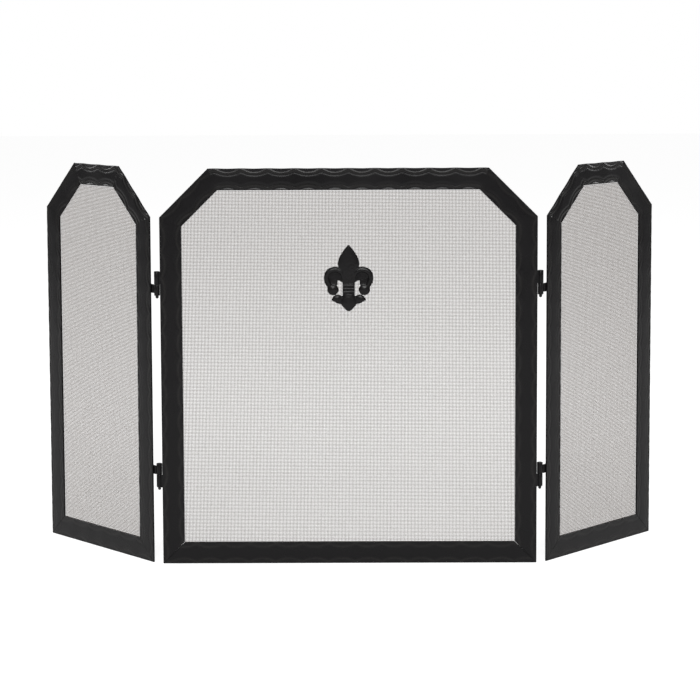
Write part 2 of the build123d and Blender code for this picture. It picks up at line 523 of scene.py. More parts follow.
@dataclass(frozen=True)
class HammeredRelief:
    """Two nested arcs of groove pressed into a bar along both of its edges.

    Each dent is one pitch long. Its outer groove starts and ends at the bar's
    edge. Its inner groove is shallower and runs on from dent to dent in cusps.
    """

    pitch: float = 41.3 * MM
    outer_depth: float = 4.5 * MM
    outer_half_chord: float = 15.75 * MM
    outer_sag: float = 4.8 * MM
    outer_width: float = 2.2 * MM
    outer_press: float = 0.95 * MM
    inner_depth: float = 10.4 * MM
    inner_sag: float = 5.0 * MM
    inner_width: float = 1.5 * MM
    inner_press: float = 0.54 * MM
    edge_wave: float = 0.5 * MM
    edge_reach: float = 6.0 * MM

    def phase(self, along: np.ndarray, first: float) -> np.ndarray:
        """Distance from the middle of the nearest dent, when one dent is centred at first."""
        return (along - first + self.pitch / 2) % self.pitch - self.pitch / 2

    def press(self, along: np.ndarray, depth: np.ndarray, first: float) -> np.ndarray:
        """How far the face is pushed in, for one edge.

        A groove's line lies at its middle depth less sag times the square of p
        over the half chord, where p is the distance from the dent's middle. Its
        section is a bell curve. The outer groove fades out past its chord.

        Args:
            along: place along the bar.
            depth: distance from the edge.
            first: place of one dent's middle.

        Returns:
            Depth of the pressed surface below the flat face.
        """
        p = self.phase(along, first)
        outer_line = self.outer_depth - self.outer_sag * (p / self.outer_half_chord) ** 2
        inner_line = self.inner_depth - self.inner_sag * (2 * p / self.pitch) ** 2
        return (self.outer_press * bell(depth - outer_line, self.outer_width)
                + self.inner_press * bell(depth - inner_line, self.inner_width))

    def ridge(self, along: np.ndarray, depth: np.ndarray, first: float) -> np.ndarray:
        """How much a place lies on the ridge between the two grooves, 0 to 1."""
        p = self.phase(along, first)
        line = (self.outer_depth + self.inner_depth) / 2 - self.inner_sag * (2 * p / self.pitch) ** 2
        return bell(depth - line, self.inner_width)

    def edge_shift(self, along: np.ndarray, depth: np.ndarray, first: float) -> np.ndarray:
        """How far a place moves away from the edge: a cosine wave that dies out with depth."""
        swell = 0.5 + 0.5 * np.cos(2 * np.pi * self.phase(along, first) / self.pitch)
        return self.edge_wave * swell * np.exp(-depth / self.edge_reach)


@dataclass(frozen=True)
class FlatBar:
    """A straight flat bar with rounded long edges, its ends cut to four given corners.

    The corners are those of the face: outer start, outer end, inner end and
    inner start, in a panel's own two coordinates.
    """

    corners: np.ndarray
    front: float
    thickness: float
    edge_radius: float = 0.7 * MM
    seams: tuple[float, float] = (0.12 * MM, 0.12 * MM)
    step_along: float = 1.5 * MM
    step_across: float = 0.85 * MM
    support: float = 1.6
    relief: HammeredRelief | None = None
    strength: float = 1.0
    first_dent: float = 0.0
    unevenness: float = 0.1 * MM
    uneven_length: float = 45 * MM
    lump_height: float = 0.0
    lump_length: float = 7 * MM
    lump_reach: float = 3.5 * MM
    seed: int = 0

    def section(self, width: float) -> tuple[np.ndarray, np.ndarray]:
        """Loop of a rounded rectangle: the face, then quarter circles and the back.

        The back keeps one more point near each edge, support times the radius in,
        so that its shading stays flat between them.

        Args:
            width: the bar's width.

        Returns:
            Distance from the outer edge and depth below the face, round the loop.
        """
        radius, support = self.edge_radius, self.support * self.edge_radius
        count = max(3, round((width - 2 * radius) / self.step_across))
        turn = np.radians([0.0, 30.0, 60.0, 90.0])
        sine, cosine = radius * np.sin(turn), radius * np.cos(turn)
        far, deep = width - radius, self.thickness - radius
        face = np.linspace(radius, far, count + 1)
        across = np.concatenate([face, far + sine[1:], far + cosine, [width - support, support],
                                 radius - sine, radius - cosine[:-1]])
        depth = np.concatenate([0 * face, radius - cosine[1:], deep + sine, [self.thickness] * 2,
                                deep + cosine, radius - sine[:-1]])
        return across, depth

    def rows(self, length: float) -> np.ndarray:
        """Where the rings stand, as shares of the length, with one close to each end."""
        inner = np.linspace(0, 1, max(3, round(length / self.step_along)) + 1)[1:-1]
        first, last = (seam / length for seam in self.seams)
        return np.concatenate([[0.0, first], inner, [1 - last, 1.0]])

    def shell(self, place: PanelPlace) -> Shell:
        """The bar's closed surface.

        Rings run between the two cut ends. The face sinks by the relief, by a
        slow unevenness and rises by the lumps near its ends, each less with
        depth so that the back stays flat. The end rings are drawn in by the seam.

        Args:
            place: where the panel stands.

        Returns:
            The shell, in the row frame.
        """
        start, end, inner_end, inner_start = self.corners
        length = float(np.linalg.norm(end - start))
        direction = (end - start) / length
        inward = np.array([-direction[1], direction[0]])
        width = float((inner_start - start) @ inward)
        across, depth = self.section(width)
        share = (across / width)[:, None]
        first, last = start + (inner_start - start) * share, end + (inner_end - end) * share
        rows = self.rows(length)
        flat = first + (last - first) * rows[:, None, None]
        along = (flat - start) @ direction
        face = 1 - depth / self.thickness
        squeeze = np.zeros((len(rows), 1))
        squeeze[[0, -1], 0] = self.seams
        shift = squeeze * (1 - 2 * across / width)
        sink = squeeze * (1 - 2 * depth / self.thickness)
        sink = sink + face * self.unevenness * (0.5 + 0.5 * waves(flat, self.uneven_length, self.seed))
        wear = 0.0 * along
        if self.relief:
            for edge, sign in ((across, 1.0), (width - across, -1.0)):
                moved = self.relief.edge_shift(along, edge, self.first_dent)
                sink = sink + face * self.strength * self.relief.press(along, edge, self.first_dent)
                shift = shift + sign * self.strength ** 2 * moved
                wear = wear + face * self.relief.ridge(along, edge, self.first_dent)
        if self.lump_height:
            near = np.minimum(rows, 1 - rows)[:, None] * length
            lumps = np.clip(waves(flat, self.lump_length, self.seed + 1), 0, 1) * bell(near, self.lump_reach)
            sink = sink - face * self.lump_height * lumps
            wear = wear + lumps
        flat = flat + shift[..., None] * inward
        rings = place.world(flat[..., 0], self.front + depth + sink, flat[..., 1])
        return ring_shell(rings, np.clip(wear, 0, 1))


@dataclass(frozen=True)
class WeldBead:
    """A weld bead: a low rounded ridge that ripples along its length.

    The ripple is the puddle's regular step, and the wander the hand's unsteadiness.
    """

    half_width: float
    height: float
    seed: int
    sides: int = 12
    step: float = 0.6 * MM
    ripple: float = 0.12
    ripple_length: float = 1.9 * MM
    wander: float = 0.1
    wander_length: float = 6 * MM

    def shell(self, start: np.ndarray, end: np.ndarray, across: np.ndarray, rise: np.ndarray) -> Shell:
        """The bead's surface, sunk a little into the welded one.

        An ellipse is carried along the line. Its size is the square root of one
        less the sixth power of the distance from the middle, times one plus a
        sine ripple and a slow wander.

        Args:
            start: first point of its line, on the welded surface.
            end: last point of its line.
            across: unit direction across the bead, along the surface.
            rise: unit direction out of the surface.

        Returns:
            The shell.
        """
        length = float(np.linalg.norm(end - start))
        steps = np.linspace(0, 1, max(8, round(length / self.step)))
        swell = np.sqrt(np.clip(1 - (2 * steps - 1) ** 6, 0.02, 1))
        swell = swell * (1 + self.ripple * np.sin(steps * length / self.ripple_length * 2 * np.pi)
                         + self.wander * waves(steps[:, None] * length, self.wander_length, self.seed))
        turn = np.linspace(0, 2 * np.pi, self.sides + 1)[:-1]
        side, up = np.cos(turn)[:, None] * across, np.sin(turn)[:, None] * rise
        rings = (start + (end - start) * steps[:, None])[:, None, :]
        return ring_shell(rings + swell[:, None, None] * (self.half_width * side + self.height * up))


def turned(profile: np.ndarray, centre: np.ndarray, axis: np.ndarray, around: int = 24,
           bored: bool = False) -> Shell:
    """A turned solid: a profile of radius and height swept round an axis.

    Args:
        profile: rows of radius and height along the axis.
        centre: a point of the axis, at height zero.
        axis: unit direction of the axis.
        around: how many points in a ring.
        bored: whether the profile is a closed loop that leaves a bore, or else
            runs from one end cap to the other.

    Returns:
        The shell, facing outwards.
    """
    helper = np.array([1.0, 0.0, 0.0]) if abs(axis[0]) < 0.9 else np.array([0.0, 1.0, 0.0])
    first = np.cross(axis, helper)
    first = first / np.linalg.norm(first)
    second = np.cross(axis, first)
    turn = np.linspace(0, 2 * np.pi, around + 1)[:-1]
    spoke = np.cos(turn)[:, None] * first + np.sin(turn)[:, None] * second
    rings = centre + profile[:, None, 1:] * axis + profile[:, :1, None] * spoke
    if not bored:
        return ring_shell(rings)
    loop = np.concatenate([rings, rings[:1]])
    quads = tube_faces(len(loop), around) % (len(rings) * around)
    return Shell(rings.reshape(-1, 3), quads).outward()


def rounded_profile(bottom: float, top: float, outer: float, inner: float, chamfer: float) -> np.ndarray:
    """Closed profile of a bored barrel with rounded outer and inner rims.

    Args:
        bottom: height of the lower end.
        top: height of the upper end.
        outer: outer radius.
        inner: radius of the bore.
        chamfer: how far the outer rims are rounded.

    Returns:
        Rows of radius and height, round the section.
    """
    small = chamfer / 3
    return np.array([
        (outer, bottom + chamfer), (outer, top - chamfer), (outer - chamfer / 3, top - chamfer / 3),
        (outer - chamfer, top), (inner + small, top), (inner, top - small), (inner, bottom + small),
        (inner + small, bottom), (outer - chamfer, bottom), (outer - chamfer / 3, bottom + chamfer / 3)])


# ------------------------------------------------------------------ woven mesh


@dataclass(frozen=True)
class WovenMesh:
    """Wire cloth: straight upright wires, and level wires crimped in front of one and behind the next.

    The wires have few sides, because there are hundreds of them.
    """

    pitch: float = 2.2 * MM
    wire: float = 0.58 * MM
    jitter: float = 0.012
    tuck: float = 1.0 * MM
    straight_step: float = 30 * MM
    seed: int = 5

    def places(self, low: float, high: float, seed: int) -> np.ndarray:
        """Where the wires of one direction stand, evenly spaced but for a little jitter."""
        count = int((high - low) / self.pitch)
        random = np.random.default_rng(seed)
        even = (low + high) / 2 + (np.arange(count) - (count - 1) / 2) * self.pitch
        return even + random.normal(0, self.jitter * self.pitch, count)

    def section(self, sides: int) -> tuple[np.ndarray, np.ndarray]:
        """Corners of a wire's few-sided section, about as wide as the round wire from any side."""
        turn = (np.arange(sides) + 0.25) * 2 * np.pi / sides
        radius = self.wire * (0.62 if sides == 3 else 0.54)
        return radius * np.cos(turn), radius * np.sin(turn)

    def upright(self, across: float, ends: tuple[float, float], middle: float,
                place: PanelPlace) -> Shell:
        """A straight upright wire, four-sided."""
        run = np.linspace(*ends, max(2, round((ends[1] - ends[0]) / self.straight_step)) + 1)
        side, deep = self.section(4)
        return ring_shell(place.world(across + side, middle + deep, run[:, None]))

    def level(self, height: float, ends: tuple[float, float], crossings: np.ndarray, parity: int,
              middle: float, place: PanelPlace) -> Shell:
        """A crimped level wire, three-sided, with one ring at each upright wire.

        Args:
            height: its height.
            ends: where it starts and stops.
            crossings: where the upright wires stand.
            parity: 0 if it passes in front of the even ones, else 1.
            middle: the cloth's middle plane.
            place: where the panel stands.

        Returns:
            The shell.
        """
        inside = (crossings > ends[0] + self.wire) & (crossings < ends[1] - self.wire)
        over = np.where((np.arange(len(crossings)) + parity) % 2 == 0, -1.0, 1.0)[inside] * self.wire
        run = np.concatenate([ends[:1], crossings[inside], ends[1:]])
        over = np.concatenate([[0.0], over, [0.0]])[:, None]
        side, deep = self.section(3)
        return ring_shell(place.world(run[:, None], middle + over + deep, height + side))

    def wires(self, outline: FrameOutline, place: PanelPlace, inset: float,
              middle: float) -> dict[str, list[Shell]]:
        """All wires, cut to the outline.

        Args:
            outline: the frame's outline.
            place: where the panel stands.
            inset: how far inside the outline the cloth ends.
            middle: the cloth's middle plane.

        Returns:
            The upright and the level wires, one shell a wire.
        """
        margin = inset + self.tuck
        half = place.width / 2 - margin
        across = self.places(-half, half, self.seed + 10)
        heights = self.places(margin, outline.height - margin, self.seed + 11)
        uprights = zip(across, *outline.wire_reach(across, place.width, margin, True))
        levels = zip(heights, *outline.wire_reach(heights, place.width, margin, False))
        return {"upright": [self.upright(x, (low, high), middle, place) for x, low, high in uprights],
                "level": [self.level(z, (low, high), across, number % 2, middle, place)
                          for number, (z, low, high) in enumerate(levels)]}


# ---------------------------------------------------------------------- panels


@dataclass
class Panel:
    """One fold: a hammered frame, woven mesh, clamp strips, rivets and welds."""

    fold: Fold
    outline: FrameOutline
    relief: HammeredRelief = field(default_factory=HammeredRelief)
    cloth: WovenMesh = field(default_factory=WovenMesh)
    rail_strength: float = 0.32
    end_gap: float = 0.4 * MM
    rivet_spacing: float = 110 * MM
    rivet_end: float = 18 * MM
    rivet_radius: float = 2.8 * MM
    rivet_sink: float = 0.4 * MM
    rivet_foot: float = 0.97
    weld_half_width: float = 2.1 * MM
    weld_height: float = 0.8 * MM
    weld_inset: float = 1.5 * MM
    shoulder_lumps: float = 0.45 * MM
    most_quads: int = 95000
    foot_seam: float = 0.5 * MM
    head_seam: float = 0.02 * MM

    def __post_init__(self) -> None:
        """Read where the panel stands and the layers behind its bars."""
        self.place = PanelPlace.measure(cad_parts[self.fold.bar_node(Side.BOTTOM)])
        low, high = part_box("centre_bottom_rail_clamp_strip")
        self.strip_inset, self.strip_width = low.z, high.z - low.z
        self.strip_front, self.strip_thickness = low.y, high.y - low.y
        self.mesh_low, self.mesh_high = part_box("centre_wire_mesh")
        self.rivet_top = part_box("centre_rivets")[1].y
        self.bar_front = -self.outline.bar_thickness / 2

    def piece_corners(self, side: Side, inset: float, width: float, gap: float = 0.0) -> np.ndarray:
        """Four corners of a side's piece whose outer edge lies at inset."""
        outer = self.outline.corners(self.place.width, inset)
        inner = self.outline.corners(self.place.width, inset + width)
        first, last = side.value, (side.value + 1) % len(Side)
        trim = (outer[last] - outer[first]) / np.linalg.norm(outer[last] - outer[first]) * gap
        return np.array([outer[first] + trim, outer[last] - trim, inner[last] - trim, inner[first] + trim])

    def first_dent(self, side: Side, length: float) -> float:
        """Where one dent is centred, so that the dents meet the corners as on the real frame."""
        if side is Side.TOP:
            return length / 2 + self.relief.pitch / 2 if self.fold is Fold.CENTRE else length
        if side is Side.RIGHT_CORNER:
            return length
        if side is Side.LEFT_CORNER:
            return 0.0
        random = np.random.default_rng(side.value + 7 * len(self.fold.value))
        return float(random.uniform(0, self.relief.pitch))

    def is_shoulder(self, side: Side) -> bool:
        """Whether a side is a corner bar at a hinge, whose welds were left lumpy."""
        hinge_side = {Fold.LEFT: Side.RIGHT_CORNER, Fold.RIGHT: Side.LEFT_CORNER}
        return hinge_side.get(self.fold) is side

    def build_bars(self) -> None:
        """Make the six hammered bars."""
        for side in Side:
            corners = self.piece_corners(side, 0.0, self.outline.bar_width)
            length = float(np.linalg.norm(corners[1] - corners[0]))
            strong = side is Side.TOP or self.is_shoulder(side)
            seams = tuple(self.foot_seam if low else self.head_seam for low in (
                side in (Side.BOTTOM, Side.RIGHT), side in (Side.BOTTOM, Side.LEFT)))
            bar = FlatBar(corners, self.bar_front, self.outline.bar_thickness, relief=self.relief,
                          strength=1.0 if strong else self.rail_strength,
                          first_dent=self.first_dent(side, length), seams=seams,
                          lump_height=self.shoulder_lumps if self.is_shoulder(side) else 0.0,
                          seed=10 * side.value + len(self.fold.value))
            name = self.fold.bar_node(side)
            piece = mesh_object(f"hammered_{name}", [bar.shell(self.place)], sharp_angle=35.0)
            place_piece(piece, FRAME_PAINT, self.fold.body, name)

    def build_strips(self) -> None:
        """Make the six clamp strips behind the mesh."""
        for side in Side:
            corners = self.piece_corners(side, self.strip_inset, self.strip_width, self.end_gap)
            strip = FlatBar(corners, self.strip_front, self.strip_thickness, edge_radius=0.35 * MM,
                            step_along=6 * MM, step_across=3 * MM, unevenness=0.0)
            name = self.fold.strip_node(side)
            place_piece(mesh_object(f"rolled_{name}", [strip.shell(self.place)]), STRIP_PAINT,
                        self.fold.body, name)

    def build_cloth(self) -> None:
        """Make the wires of the mesh, in pieces that stay under the limit on faces."""
        name = f"{self.fold.value}_wire_mesh"
        middle = (self.mesh_low.y + self.mesh_high.y) / 2
        found = self.cloth.wires(self.outline, self.place, self.mesh_low.z, middle)
        for word, shells in found.items():
            total = sum(len(shell.quads) for shell in shells)
            count = -(-total // self.most_quads)
            for number in range(count):
                part = shells[number * len(shells) // count:(number + 1) * len(shells) // count]
                piece = mesh_object(f"{name}_{word}_wires_{number + 1}", part, sharp_angle=180.0)
                place_piece(piece, WIRE_PAINT, self.fold.body, name)

    def rivet_points(self) -> np.ndarray:
        """Places of all rivets, evenly spaced along each strip's middle line."""
        corners = self.outline.corners(self.place.width, self.strip_inset + self.strip_width / 2)
        found = []
        for side in Side:
            start, end = corners[side.value], corners[(side.value + 1) % len(Side)]
            length = np.linalg.norm(end - start)
            gaps = max(1, round((length - 2 * self.rivet_end) / self.rivet_spacing))
            steps = np.linspace(self.rivet_end, length - self.rivet_end, gaps + 1)
            found.append(start + (end - start) / length * steps[:, None])
        return np.concatenate(found)

    def build_rivets(self) -> None:
        """Make the low domed rivet heads: a quarter ellipse turned about the shank."""
        back = self.strip_front + self.strip_thickness
        rise = self.rivet_top - back
        turn = np.radians([0, 18, 36, 54, 72, 86])
        dome = np.stack([self.rivet_radius * np.cos(turn), rise * np.sin(turn)], axis=1)
        profile = np.concatenate([[[self.rivet_radius * self.rivet_foot, -self.rivet_sink]], dome])
        shells = [turned(profile, self.place.point(x, back, z), self.place.back, 16)
                  for x, z in self.rivet_points()]
        name = f"{self.fold.value}_rivets"
        place_piece(mesh_object(f"domed_{name}", shells), RIVET_PAINT, self.fold.body, name)

    def build_welds(self) -> None:
        """Make the short weld beads behind the six mitres, outside the mesh."""
        back = -self.bar_front
        shells = []
        lines = zip(*(self.outline.corners(self.place.width, inset)
                      for inset in (self.weld_inset, self.mesh_low.z - self.weld_inset)))
        for number, (first, last) in enumerate(lines):
            start, end = (self.place.point(x, back, z) for x, z in (first, last))
            across = np.cross(end - start, self.place.back)
            across = across / np.linalg.norm(across)
            bead = WeldBead(self.weld_half_width, self.weld_height, number)
            shells.append(bead.shell(start, end, across, self.place.back))
        piece = mesh_object(f"{self.fold.value}_mitre_welds", shells)
        place_piece(piece, FRAME_PAINT, self.fold.body)

    def build(self) -> None:
        """Make all of the panel's pieces."""
        self.build_bars()
        self.build_cloth()
        self.build_strips()
        self.build_rivets()
        self.build_welds()


# ---------------------------------------------------------------------- hinges


@dataclass(frozen=True)
class Hinge:
    """A pin hinge: a barrel on the centre stile, an eye on the wing and a pin through both."""

    wing: Panel
    level: Level
    leaf_thickness: float = 2.5 * MM
    arm_length: float = 13.5 * MM
    lap: float = 10 * MM
    pin_clearance: float = 0.05 * MM
    pin_chamfer: float = 0.3 * MM
    rim: float = 0.7 * MM
    into_barrel: float = 0.6 * MM
    bead_inset: float = 1.0 * MM
    end_bead: WeldBead = WeldBead(1.5 * MM, 1.5 * MM, 3)
    lap_bead: WeldBead = WeldBead(1.3 * MM, 1.3 * MM, 4)

    def node(self, part: str) -> str:
        """Name of one of the hinge's three CAD nodes."""
        return f"{self.wing.fold.value}_{self.level.value}_hinge_{part}"

    def build(self) -> None:
        """Make the barrel, the eye and the pin."""
        pin_low, pin_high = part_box(self.node("pin"))
        barrel_low, barrel_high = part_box(self.node("barrel"))
        eye_low, eye_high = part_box(self.node("eye"))
        centre = np.array([(pin_low.x + pin_high.x) / 2, (pin_low.y + pin_high.y) / 2, 0.0])
        pin_radius = (pin_high.x - pin_low.x) / 2
        radius = barrel_high.y - centre[1]
        barrel = rounded_profile(barrel_low.z, barrel_high.z, radius, pin_radius, self.rim)
        eye = rounded_profile(eye_low.z, eye_high.z, radius, pin_radius + self.pin_clearance, self.rim)
        for part, profile, leaf, body in (
                ("barrel", barrel, self.barrel_leaf(centre, pin_radius), Fold.CENTRE.body),
                ("eye", eye, self.eye_arm(centre, pin_radius), self.wing.fold.body)):
            shells = [turned(profile, centre, UP, 32, bored=True), *leaf]
            place_piece(mesh_object(f"turned_{self.node(part)}", shells), HINGE_PAINT, body, self.node(part))
        rod = self.pin(centre, pin_low.z, pin_high.z, pin_radius)
        place_piece(mesh_object(f"domed_{self.node('pin')}", [rod]), PIN_STEEL, Fold.CENTRE.body,
                    self.node("pin"))

    def pin(self, centre: np.ndarray, low: float, high: float, radius: float) -> Shell:
        """The pin: a rod with a bullet tip below and a small chamfer on top."""
        turn = np.radians([8, 30, 50, 70, 90])
        tip = np.stack([radius * np.sin(turn), low + radius * (1 - np.cos(turn))], axis=1)
        top = np.array([(radius, high - self.pin_chamfer), (radius - self.pin_chamfer, high)])
        return turned(np.concatenate([tip, top]), centre, UP, 24)

    def leaf(self, near: float, far: float, low: float, high: float, place: PanelPlace) -> list[Shell]:
        """A leaf welded flat on the back of a stile, with its beads.

        Args:
            near: end of the leaf at the barrel, across the panel.
            far: end of the leaf on the stile.
            low: height of its lower edge.
            high: height of its upper edge.
            place: where the panel stands.

        Returns:
            The leaf and two beads.
        """
        back, hand = -self.wing.bar_front, np.sign(far - near)
        plate = FlatBar(rectangle(min(near, far), max(near, far), low, high), back, self.leaf_thickness,
                        edge_radius=0.45 * MM, step_along=2 * MM, step_across=2 * MM, unevenness=0.0)
        start, end = (place.point(far, back, z) for z in (low + self.bead_inset, high - self.bead_inset))
        first, last = (place.point(x, back, high) for x in (far - hand * self.lap, far))
        return [plate.shell(place), self.end_bead.shell(start, end, place.along * hand, place.back),
                self.lap_bead.shell(first, last, UP, place.back)]

    def barrel_leaf(self, centre: np.ndarray, pin_radius: float) -> list[Shell]:
        """The barrel's leaf, on the back of the centre stile."""
        low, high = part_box(self.node("barrel"))
        hand = np.sign(centre[0])
        far = low.x if hand > 0 else high.x
        near = centre[0] - hand * (pin_radius + self.into_barrel)
        return self.leaf(near, far, low.z, high.z, ROW_PLACE)

    def eye_arm(self, centre: np.ndarray, pin_radius: float) -> list[Shell]:
        """The eye's arm, on the back of the wing's stile."""
        low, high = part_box(self.node("eye"))
        place = self.wing.place
        axis = float((centre - place.origin) @ place.along)
        hand = np.sign(axis)
        far = hand * (place.width / 2 - self.lap)
        near = axis - hand * (pin_radius + self.into_barrel)
        bottom = high.z - self.arm_length if self.level is Level.UPPER else low.z
        return self.leaf(near, far, bottom, bottom + self.arm_length, place)


# -------------------------------------------------------------------- ornament


def smooth_path(points: list[tuple[float, ...]], samples: int) -> np.ndarray:
    """Smooth curve through points: on each span a cubic whose end slopes are half the
    difference of the neighbouring points.

    Args:
        points: the points, with any number of values each.
        samples: how many points are returned.

    Returns:
        Array of shape (samples, values).
    """
    given = np.array(points, float)
    padded = np.concatenate([[2 * given[0] - given[1]], given, [2 * given[-1] - given[-2]]])
    place = np.linspace(0, len(given) - 1, samples)
    span = np.minimum(place.astype(int), len(given) - 2)
    t = (place - span)[:, None]
    before, start, end, after = (padded[span + k] for k in range(4))
    slope_in, slope_out = (end - before) / 2, (after - start) / 2
    return ((2 * t ** 3 - 3 * t ** 2 + 1) * start + (t ** 3 - 2 * t ** 2 + t) * slope_in
            + (3 * t ** 2 - 2 * t ** 3) * end + (t ** 3 - t ** 2) * slope_out)


@dataclass(frozen=True)
class Ornament:
    """Cast fleur-de-lis with two studs, its back plate and its nuts.

    Its own coordinates are millimetres across and up from its middle.
    """

    middle_height: float = 449.5
    thickness: float = 6.4
    stud_spacing: float = 44.0
    stud_radius: float = 1.5
    nut_radius: float = 3.2
    nut_chamfer: float = 0.3
    voxel: float = 0.45
    smoothing: int = 4
    skin_height: float = 0.07
    skin_length: float = 7.0
    rubbed: float = 0.25

    def ribbon(self, line: list[tuple[float, float, float, float]], edge: float, roundness: float,
               samples: int = 70) -> Shell:
        """A domed strip of metal along a line, flat behind.

        Its section is a wall of the edge's height with a dome on it: across is
        the half width times the cosine, and height is edge plus the rest of the
        rise times the sine to the power roundness.

        Args:
            line: rows of across, up, half width and rise.
            edge: share of the rise at which the dome starts.
            roundness: small for a flat top, one for a round one, more for a ridge.
            samples: how many rings.

        Returns:
            The shell, in millimetres, with its back at depth zero.
        """
        path = smooth_path(line, samples)
        centre, half, rise = path[:, :2], np.clip(path[:, 2], 0.15, None), path[:, 3]
        slope = np.gradient(centre, axis=0)
        slope = slope / np.linalg.norm(slope, axis=1, keepdims=True)
        normal = np.stack([slope[:, 1], -slope[:, 0]], axis=1)
        turn = np.linspace(0, np.pi, 21)
        across = np.concatenate([np.cos(turn), [-1.0, 1.0]])
        dome = edge + (1 - edge) * np.sin(turn).clip(0, 1) ** roundness
        height = np.concatenate([dome, [0.0, 0.0]])
        flat = centre[:, None, :] + (half[:, None] * across)[..., None] * normal[:, None, :]
        up = rise[:, None] * height
        return ring_shell(np.stack([flat[..., 0], -up, flat[..., 1]], axis=-1))

    def mirrored(self, shell: Shell) -> list[Shell]:
        """The shell and its mirror image."""
        twin = Shell(shell.points * np.array([-1.0, 1.0, 1.0]), shell.quads, shell.caps).outward()
        return [Shell(shell.points, shell.quads.copy(), list(shell.caps)).outward(), twin]

    def shells(self) -> list[Shell]:
        """All the overlapping solids of the casting.

        The middle petal runs from its tip down into the stem. Each curl is a thin
        leaf with a raised rim that ends in a ball. Two leaflets and the shield are
        the foot, and three ribs are the band round the stem.
        """
        full = self.thickness
        petal = self.ribbon([(0, 51.3, 0.6, 5.2), (0, 47, 4.5, 5.6), (0, 41, 9.0, 5.9), (0, 34, 13.3, 6.1),
                             (0, 28, 15.8, 6.2), (0, 22, 16.7, 6.2), (0, 16, 15.4, 6.1),
                             (0, 8, 12.0, 5.8), (0, 0, 10.2, 5.2), (0, -10, 9.6, 4.6)], 0.5, 0.6, 110)
        leaf = self.ribbon([(5, -4, 5, 4.0), (12, 3, 8, 3.0), (19, 7, 10.3, 2.6), (25.5, 4.5, 11.5, 2.6),
                            (27.3, -2, 11.0, 2.6), (26.0, -8, 9.5, 3.2), (24.4, -13, 8.0, 4.0)], 0.7, 0.6)
        rim = self.ribbon([(7.6, -3, 2.0, 4.6), (10, 6.6, 3.2, 5.8), (13.5, 10.7, 3.9, full),
                           (19.9, 13.3, 4.1, full), (27.9, 11.5, 4.1, full), (33, 6.8, 4.0, full),
                           (34.0, 1, 3.7, 6.2), (32.4, -5, 3.4, 5.8), (29.3, -10, 3.0, 5.2),
                           (26.5, -14, 2.4, 4.6)], 0.42, 1.0)
        turn = np.radians([0, 0, 15, 30, 45, 60, 75, 88])
        ball = np.stack([8.7 * np.cos(turn), np.r_[0.0, 1.8 + (full - 1.8) * np.sin(turn[1:])]], axis=1)
        knob = turned(ball, np.array([24.3, 0, -18.3]), -FIREWARD, 40)
        stem = self.ribbon([(0, -4, 9.4, 4.2), (0, -11, 9.4, 4.2), (0, -20, 9.4, 4.2), (0, -28, 9.6, 4.2)],
                           0.7, 0.4, 30)
        leaflet = self.ribbon([(4, -35, 6.0, 3.6), (10.5, -34.6, 6.4, 3.4), (15, -33.4, 6.8, 4.6),
                               (18, -32.8, 6.6, 5.2), (22, -33.0, 4.7, 4.8), (26.8, -34.6, 0.5, 3.0)],
                              0.35, 0.9, 60)
        foot = self.ribbon([(0, -24, 9.2, 4.8), (0, -29, 9.4, 5.8), (0, -35, 11.6, full),
                            (0, -41.0, 11.6, full), (0, -45.6, 8.4, 6.0), (0, -49.4, 4.9, 5.0),
                            (0, -51.4, 2.5, 4.0)], 0.4, 1.0, 60)
        ribs = [self.ribbon([(-9.7, z, 1.9, 5.9), (0, z, 1.9, full), (9.7, z, 1.9, 5.9)], 0.78, 1.0, 30)
                for z in (-11.5, -16.5, -21.5)]
        stud = np.array([(self.stud_radius, -1.0), (self.stud_radius, 5.7), (self.stud_radius - 0.3, 6.0)])
        studs = [turned(stud, np.array([0, 0, z * self.stud_spacing / 2]), FIREWARD, 24) for z in (-1, 1)]
        both = [half for shell in (leaf, rim, knob, leaflet) for half in self.mirrored(shell)]
        return [petal, stem, foot, *ribs, *studs, *both]

    def build_casting(self) -> None:
        """Melt the solids into one skin with a voxel remesh, smooth it and roughen it a little."""
        rough = mesh_object("casting_solids", self.shells())
        remesh = rough.modifiers.new("melt", "REMESH")
        remesh.mode, remesh.voxel_size, remesh.adaptivity = "VOXEL", self.voxel, 0.0
        soften = rough.modifiers.new("soften", "SMOOTH")
        soften.iterations, soften.factor = self.smoothing, 0.5
        graph = bpy.context.evaluated_depsgraph_get()
        mesh = bpy.data.meshes.new_from_object(rough.evaluated_get(graph))
        bpy.data.objects.remove(rough)
        points = np.empty(len(mesh.vertices) * 3, np.float32)
        mesh.vertices.foreach_get("co", points)
        points = points.reshape(-1, 3).astype(float)
        front = np.clip(-points[:, 1] / self.thickness, 0, 1)
        points[:, 1] += self.skin_height * front * waves(points[:, [0, 2]], self.skin_length, 21)
        points = points * MM + np.array([0.0, self.back, self.middle_height * MM])
        mesh.vertices.foreach_set("co", points.astype(np.float32).ravel())
        wear = (self.rubbed * front).astype(np.float32)
        mesh.attributes.new("wear", "FLOAT", "POINT").data.foreach_set("value", wear)
        mesh.shade_smooth()
        mesh.update()
        piece = bpy.data.objects.new("cast_fleur_de_lis", mesh)
        bpy.context.scene.collection.objects.link(piece)
        place_piece(piece, CASTING_PAINT, Fold.CENTRE.body, "ornament")

    @property
    def back(self) -> float:
        """The depth of the casting's back: that of the back of the bars."""
        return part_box("centre_bottom_rail")[1].y

    def build_plate(self) -> None:
        """Make the plate behind the mesh."""
        low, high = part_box("ornament_back_plate")
        plate = FlatBar(rectangle(low.x, high.x, low.z, high.z), low.y, high.y - low.y,
                        edge_radius=0.4 * MM, step_along=4 * MM, step_across=4 * MM, unevenness=0.0)
        place_piece(mesh_object("rounded_back_plate", [plate.shell(ROW_PLACE)]), CASTING_PAINT,
                    Fold.CENTRE.body, "ornament_back_plate")

